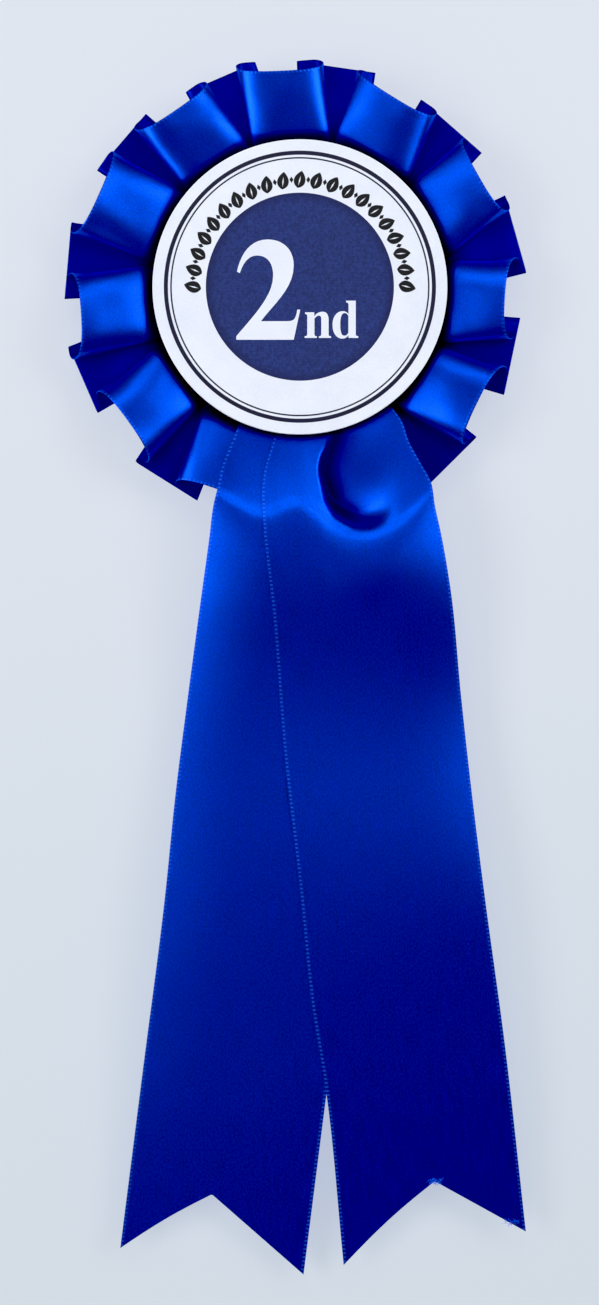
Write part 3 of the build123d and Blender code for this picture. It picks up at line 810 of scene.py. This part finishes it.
def make_frays():
    """Loose ends of thread where the front tail was cut: at its notch and by its right tip."""
    draw = random.Random(4)
    points, faces = [], []
    for x, z, count in FRAYS:
        for _ in range(count):
            at = np.array((x + draw.uniform(-1.5, 1.5), z + draw.uniform(-0.2, 0.9)))
            heading = math.radians(draw.uniform(150, 390))
            turn = draw.uniform(-0.5, 0.5)
            first = len(points)
            for step in range(FRAY_STEPS + 1):
                seen = as_seen(*at, float(drape(*at)) - FRAY_PROUD)
                thick = FRAY_R * (1 - step / (FRAY_STEPS + 2))
                for corner in range(4):
                    a = math.pi / 2 * corner
                    points.append((seen[0] + thick * math.cos(a), seen[1] + thick * math.sin(a), seen[2]))
                at = at + FRAY_STEP * np.array((math.cos(heading), math.sin(heading)))
                heading += turn
            for step in range(FRAY_STEPS):
                for corner in range(4):
                    a, b = first + 4 * step + corner, first + 4 * step + (corner + 1) % 4
                    faces.append((a, b, b + 4, a + 4))
    obj = new_object("cut_threads", mesh_from("cut_threads", points, faces), thread_painted_sheen, "front_tail")


make_rear_tail()
make_front_tail()
make_frays()

# ---- the printed centre ----
INK = 0.05  # how far print stands proud
EDGE_BREAK = 0.02  # the most that a ring's edges are broken by
SIDES, CURVE_POINTS = 180, 10  # of a ring or a disc, and of a curved stretch of an outline
OUTER_RING, INNER_RING = (36.9, 35.8), (35.15, 34.75)  # outer and inner radius
NUMERAL_AT, NUMERAL_SIZE = (-17.6, -14.4), (17.7, 27.2)
ORDINAL_Z, N_X, D_X = -13.9, 1.3, 8.75  # lower left corners of the ordinal ending's two letters
ORNAMENT_R = 29.1  # middle of the row of leaves over the field
LEAVES = 21
LEAF_SLANT = -14  # in degrees


def ring_mesh(name, outer, inner, back, front):
    """A flat ring, or a disc when inner is 0, with softly broken edges."""
    edge = min(EDGE_BREAK, abs(back - front) / 3)
    profile = [(outer, back), (outer, front + edge), (outer - edge, front)]
    if inner > 0:
        profile += [(inner + edge, front), (inner, front + edge), (inner, back)]
    points, faces = [], []
    for i in range(SIDES):
        a = 2 * math.pi * i / SIDES
        points += [(r * math.cos(a), y, r * math.sin(a)) for r, y in profile]
    m = len(profile)
    for i in range(SIDES):
        j = (i + 1) % SIDES
        for k in range(m - 1):
            faces.append((i * m + k, j * m + k, j * m + k + 1, i * m + k + 1))
    if inner > 0:
        for i in range(SIDES):
            j = (i + 1) % SIDES
            faces.append((i * m + m - 1, j * m + m - 1, j * m, i * m))
    else:
        faces.append([i * m + m - 1 for i in range(SIDES)])
        faces.append([i * m for i in reversed(range(SIDES))])
    return mesh_from(name, points, faces, shade=False)


def make_face():
    """The white face with two rings and the blue field printed on it."""
    sheet = ring_mesh("sheet", DISC_R, 0, disc_hi.y, FACE_Y)
    face = new_object("printed_face", sheet, print_white, "rosette")
    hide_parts("centre_print")
    for name, outer, inner, material in (
        ("outer_ring", *OUTER_RING, navy_ink),
        ("inner_ring", *INNER_RING, navy_ink),
        ("blue_field", FIELD_R, 0.0, field_print),
    ):
        mesh = ring_mesh(name, outer, inner, FACE_Y, FACE_Y - INK)
        new_object(name, mesh, material, "rosette")


def flat_shape(name, outlines, back, front, material):
    """A flat print shape from outlines of (x, z) points: outer edges, and holes inside them."""
    curve = bpy.data.curves.new(name, "CURVE")
    curve.dimensions = "2D"
    curve.fill_mode = "BOTH"
    for outline in outlines:
        spline = curve.splines.new("POLY")
        spline.points.add(len(outline) - 1)
        for point, (x, z) in zip(spline.points, outline):
            point.co = (x * MM, z * MM, 0, 1)
        spline.use_cyclic_u = True
    curve.extrude = abs(back - front) / 2 * MM
    holder = bpy.data.objects.new(name + "_curve", curve)
    bpy.context.scene.collection.objects.link(holder)
    bpy.context.view_layer.update()
    evaluated = holder.evaluated_get(bpy.context.evaluated_depsgraph_get())
    mesh = bpy.data.meshes.new_from_object(evaluated)
    for vertex in mesh.vertices:
        x, z, y = vertex.co
        vertex.co = (x, (back + front) / 2 * MM - y, z)
    bpy.data.objects.remove(holder)
    mesh.materials.clear()
    new_object(name, mesh, material, "rosette")


def bezier(p0, p1, p2, p3):
    """Points of a curved stretch, without its last point."""
    points = []
    for i in range(CURVE_POINTS):
        t = i / CURVE_POINTS
        s = 1 - t
        weights = (s**3, 3 * s * s * t, 3 * s * t * t, t**3)
        points.append(tuple(sum(w * p for w, p in zip(weights, axis)) for axis in zip(p0, p1, p2, p3)))
    return points


def path_points(start, *steps):
    """An outline from straight steps (x, z) and curved ones (x1, z1, x2, z2, x, z)."""
    points, at = [], start
    for step in steps:
        if len(step) == 2:
            points.append(at)
            at = step
        else:
            points += bezier(at, step[0:2], step[2:4], step[4:6])
            at = step[4:6]
    points.append(at)
    return points


def placed(outline, x, z, width=1, height=1):
    """An outline scaled by its width and height and moved to x, z."""
    return [(x + px * width, z + pz * height) for px, pz in outline]


def make_numeral():
    """The place numeral, drawn in a unit box, and its ordinal ending, drawn in mm, with bracketed serifs."""
    two = path_points(
        (0.02, 0), (0.90, 0),
        (1, 0.30), (0.955, 0.30),
        (0.93, 0.20, 0.90, 0.185, 0.80, 0.185), (0.40, 0.185),
        (0.55, 0.33, 0.90, 0.50, 0.90, 0.74),
        (0.90, 0.90, 0.74, 1, 0.50, 1),
        (0.24, 1, 0.09, 0.86, 0.03, 0.68),
        (0.075, 0.665),
        (0.13, 0.78, 0.22, 0.84, 0.34, 0.84),
        (0.50, 0.84, 0.585, 0.76, 0.585, 0.64),
        (0.585, 0.44, 0.30, 0.25, 0.02, 0.035),
    )
    proud = (FACE_Y - INK, FACE_Y - 2 * INK)
    flat_shape("numeral_two", [placed(two, *NUMERAL_AT, *NUMERAL_SIZE)], *proud, print_white)
    letter_n = path_points(
        (0, 0), (3.3, 0), (3.3, 0.45),
        (2.75, 0.5, 2.65, 0.65, 2.65, 1.1), (2.65, 5.2),
        (3.1, 5.85, 3.5, 6.05, 3.85, 6.05),
        (4.35, 6.05, 4.5, 5.7, 4.5, 5), (4.5, 1.1),
        (4.5, 0.65, 4.4, 0.5, 3.85, 0.45), (3.85, 0), (7.15, 0), (7.15, 0.45),
        (6.6, 0.5, 6.5, 0.65, 6.5, 1.1), (6.5, 4.9),
        (6.5, 6.4, 5.9, 7.1, 4.85, 7.1),
        (4, 7.1, 3.2, 6.7, 2.6, 5.85), (2.6, 6.95), (0.1, 6.95), (0.1, 6.5),
        (0.6, 6.45, 0.7, 6.2, 0.7, 5.8), (0.7, 1.1),
        (0.7, 0.65, 0.6, 0.5, 0, 0.45),
    )
    letter_d = path_points(
        (4.45, 0), (7.1, 0), (7.1, 0.45),
        (6.5, 0.5, 6.4, 0.7, 6.4, 1.2), (6.4, 10.1), (3.8, 10.1), (3.8, 9.65),
        (4.3, 9.6, 4.45, 9.35, 4.45, 8.95), (4.45, 6.5),
        (4, 7, 3.5, 7.25, 2.9, 7.25),
        (1.2, 7.25, 0.1, 5.7, 0.1, 3.5),
        (0.1, 1.3, 1.2, -0.2, 2.75, -0.2),
        (3.5, -0.2, 4.05, 0.15, 4.45, 0.75),
    )
    bowl = path_points(
        (4.4, 1.4), (4.4, 5.9),
        (4.1, 6.5, 3.8, 6.75, 3.4, 6.75),
        (2.5, 6.75, 2.2, 5.5, 2.2, 3.6),
        (2.2, 1.6, 2.5, 0.6, 3.3, 0.6),
        (3.8, 0.6, 4.1, 0.9, 4.4, 1.4),
    )[:-1]
    flat_shape("ordinal_n", [placed(letter_n, N_X, ORDINAL_Z)], *proud, print_white)
    outlines = [placed(shape, D_X, ORDINAL_Z) for shape in (letter_d, bowl)]
    flat_shape("ordinal_d", outlines, *proud, print_white)


def make_ornament():
    """A row of leaves with a lozenge between each two, over the upper half of the white ring."""
    leaf = path_points((0.0, -2.4), (2.3, -1.4, 1.9, 0.8, 0.0, 2.4), (-1.9, 0.8, -2.3, -1.4, 0.0, -2.4))[:-1]
    vein = path_points((0.0, -1.8), (0.2, -0.3), (0.0, 1.1), (-0.2, -0.3))
    lozenge = [(0.0, -0.85), (0.55, 0.0), (0.0, 0.85), (-0.55, 0.0)]
    outlines = []
    for i in range(2 * LEAVES - 1):
        turn = math.radians(90 - 180 * (i / (2 * LEAVES - 2) - 0.5))
        outward = (math.cos(turn), math.sin(turn))
        is_leaf = i % 2 == 0
        slant = math.radians(LEAF_SLANT) if is_leaf else 0
        for shape in ((leaf, vein) if is_leaf else (lozenge,)):
            outline = []
            for px, pz in shape:
                x = px * math.cos(slant) - pz * math.sin(slant)
                r = ORNAMENT_R + (px * math.sin(slant) + pz * math.cos(slant))
                outline.append((r * outward[0] + x * outward[1], r * outward[1] - x * outward[0]))
            outlines.append(outline)
    flat_shape("leaf_row", outlines, FACE_Y, FACE_Y - INK, black_ink)


make_face()
make_ornament()
make_numeral()

# ---- stage ----
BACKDROP_Y = 4.0
BACKDROP_SIZE = 1500.0  # from its middle to each side
BACKDROP_GLOW = 0.7  # the share of the backdrop's brightness that no shadow takes away
LIT_MIDDLE = Vector((0, 0, -60))  # the lit panels face this place
PANEL_DISTANCE = 900


def make_camera():
    """The camera, looking along +Y."""
    data = bpy.data.cameras.new("camera")
    camera = bpy.data.objects.new("camera", data)
    bpy.context.scene.collection.objects.link(camera)
    data.sensor_width = SENSOR
    data.lens = SENSOR * CAMERA_DISTANCE / VIEW_HEIGHT
    data.clip_start, data.clip_end = 0.01, 20.0
    camera.location = (VIEW_MIDDLE[0] * MM, (VIEW_Y - CAMERA_DISTANCE) * MM, VIEW_MIDDLE[1] * MM)
    camera.rotation_euler = (math.pi / 2, 0, 0)
    bpy.context.scene.camera = camera


def make_backdrop():
    """The pale table top that the rosette lies on; it isn't seen from behind or edge-on."""
    n = Nodes("backdrop")
    place = n.place()
    color = n.mix(n.noise(place, scale=6.0), srgb(216, 221, 227), srgb(210, 215, 223))
    # painted light: the backdrop glows by itself so that shadows on it stay faint, and its glow is lighter
    # towards the top
    up = n.step(n.split(place)["Z"], low=-0.28, high=0.08)
    n.set(
        Base_Color=n.mix(BACKDROP_GLOW, color, (0, 0, 0)),
        Roughness=0.8,
        Specular_IOR_Level=0.1,
        Emission_Color=n.mix(up, srgb(211, 221, 230), srgb(223, 229, 239)),
        Emission_Strength=BACKDROP_GLOW,
    )
    clear = n.add("ShaderNodeBsdfTransparent")
    geometry = n.add("ShaderNodeNewGeometry")
    ray = n.add("ShaderNodeLightPath")
    slant = n.add("ShaderNodeVectorMath", operation="DOT_PRODUCT")
    n.link(geometry.outputs["Normal"], slant.inputs[0])
    n.link(geometry.outputs["Incoming"], slant.inputs[1])
    facing = n.step(n.maths("ABSOLUTE", slant.outputs["Value"]), low=0.25, high=0.45)
    edge_on = n.product(n.maths("SUBTRACT", 1.0, facing), ray.outputs["Is Camera Ray"])
    unseen = n.maths("MAXIMUM", geometry.outputs["Backfacing"], ray.outputs["Is Shadow Ray"])
    mixer = n.add("ShaderNodeMixShader")
    n.link(n.maths("MAXIMUM", unseen, edge_on), mixer.inputs[0])
    n.link(n.shader.outputs[0], mixer.inputs[1])
    n.link(clear.outputs[0], mixer.inputs[2])
    n.link(mixer.outputs[0], n.tree.nodes["Material Output"].inputs["Surface"])
    size, y = BACKDROP_SIZE, BACKDROP_Y
    points = [(-size, y, -size), (size, y, -size), (size, y, size), (-size, y, size)]
    obj = new_object("backdrop", mesh_from("backdrop", points, [(0, 1, 2, 3)], shade=False), n.material)


def softbox(name, around, off_axis, radiance, size, behind=False, shine=True):
    """A lit panel: around is its angle round the viewing axis, off_axis its angle from that axis.

    Its size is along the circle round the axis and towards the axis. Without shine no surface mirrors it.
    """
    data = bpy.data.lights.new(name, "AREA")
    data.shape = "RECTANGLE"
    data.size, data.size_y = size[0] * MM, size[1] * MM
    data.energy = radiance * math.pi * data.size * data.size_y
    light = bpy.data.objects.new(name, data)
    bpy.context.scene.collection.objects.link(light)
    a, t = math.radians(around), math.radians(off_axis)
    forward = 1 if behind else -1
    outward = Vector((math.sin(t) * math.cos(a), forward * math.cos(t), math.sin(t) * math.sin(a)))
    along = Vector((-math.sin(a), 0, math.cos(a)))
    turned = Matrix((along, outward.cross(along), outward)).transposed().to_4x4()
    light.matrix_world = Matrix.Translation((LIT_MIDDLE + outward * PANEL_DISTANCE) * MM) @ turned
    light.visible_glossy = shine


def make_lights():
    softbox("left_box", 182, 45, 5.7, (720, 340))
    softbox("right_box", 24, 45, 5.0, (660, 340))
    softbox("top_box", 100, 38, 2.5, (520, 260))
    softbox("fill_box", 70, 35, 0.8, (900, 900), shine=False)
    softbox("low_fill_box", 260, 45, 0.8, (1200, 900), shine=False)
    softbox("rear_left_box", 150, 50, 3.0, (600, 500), behind=True)
    softbox("rear_right_box", 15, 50, 3.0, (600, 500), behind=True)


def make_world():
    """A dim world for the surfaces, and a pale one behind them."""
    world = bpy.data.worlds.new("world")
    bpy.context.scene.world = world
    world.use_nodes = True
    tree = world.node_tree
    background = tree.nodes["Background"]
    ray = tree.nodes.new("ShaderNodeLightPath")
    color = tree.nodes.new("ShaderNodeMix")
    color.data_type = "RGBA"
    tree.links.new(ray.outputs["Is Camera Ray"], color.inputs["Factor"])
    color.inputs[Nodes.MIX_A].default_value = (0.05, 0.055, 0.08, 1)
    color.inputs[Nodes.MIX_B].default_value = (0.62, 0.66, 0.78, 1)
    tree.links.new(color.outputs[Nodes.MIX_RESULT], background.inputs["Color"])
    background.inputs["Strength"].default_value = 1.0


make_camera()
make_backdrop()
make_lights()
make_world()
view = bpy.context.scene.view_settings
view.view_transform = "Standard"
view.use_curve_mapping = True
view.curve_mapping.black_level = (0.01, 0.01, 0.01)

# ---- finishes of the frame's own nodes that stay ----
FINISHES = {
    "centre_card": card_white, "foam_pads": foam, "pleat_stitching": thread_blue, "staples": steel,
    "base_card": card_grey, "glue_dots": glue, "back_card": card_white, "pin_base": nickel,
    "pin_rivets": nickel, "hinge_rivet": nickel, "pin_stem": steel, "catch_sleeve": nickel,
}
for node, material in FINISHES.items():
    for material_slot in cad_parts[node].material_slots:
        material_slot.material = material
